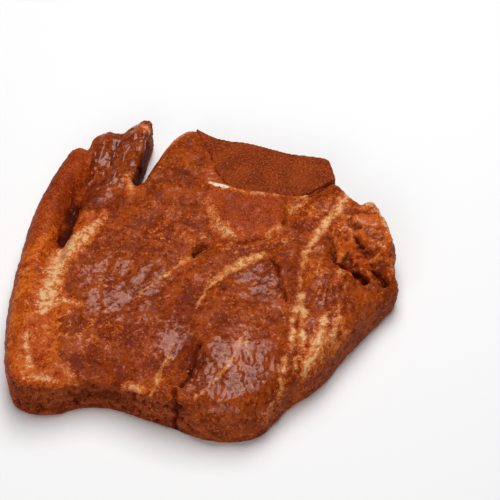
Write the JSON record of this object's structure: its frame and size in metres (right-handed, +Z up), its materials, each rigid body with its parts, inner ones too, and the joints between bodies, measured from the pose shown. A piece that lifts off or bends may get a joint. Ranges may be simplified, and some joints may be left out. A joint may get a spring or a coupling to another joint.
{
  "type": "raw pork chop",
  "caption": "Thick raw bone-in pork chop in a red-brown marinade, with rind along one side and a sawn bone plate at the back.",
  "frame": {"origin": "centre of the bounding box at its lowest plane, which is the surface the chop rests on", "axes": "+Z up through the slice's thickness, +X from the rind side to the fat tip, +Y from the cut front towards the bone plate"},
  "size_m": [0.176, 0.1772, 0.0243],
  "materials": {
    "meat": "satin",
    "bone": "matte"
  },
  "bodies": {
    "root": {"meat": "meat", "bone": "bone"}
  },
  "joints": []
}
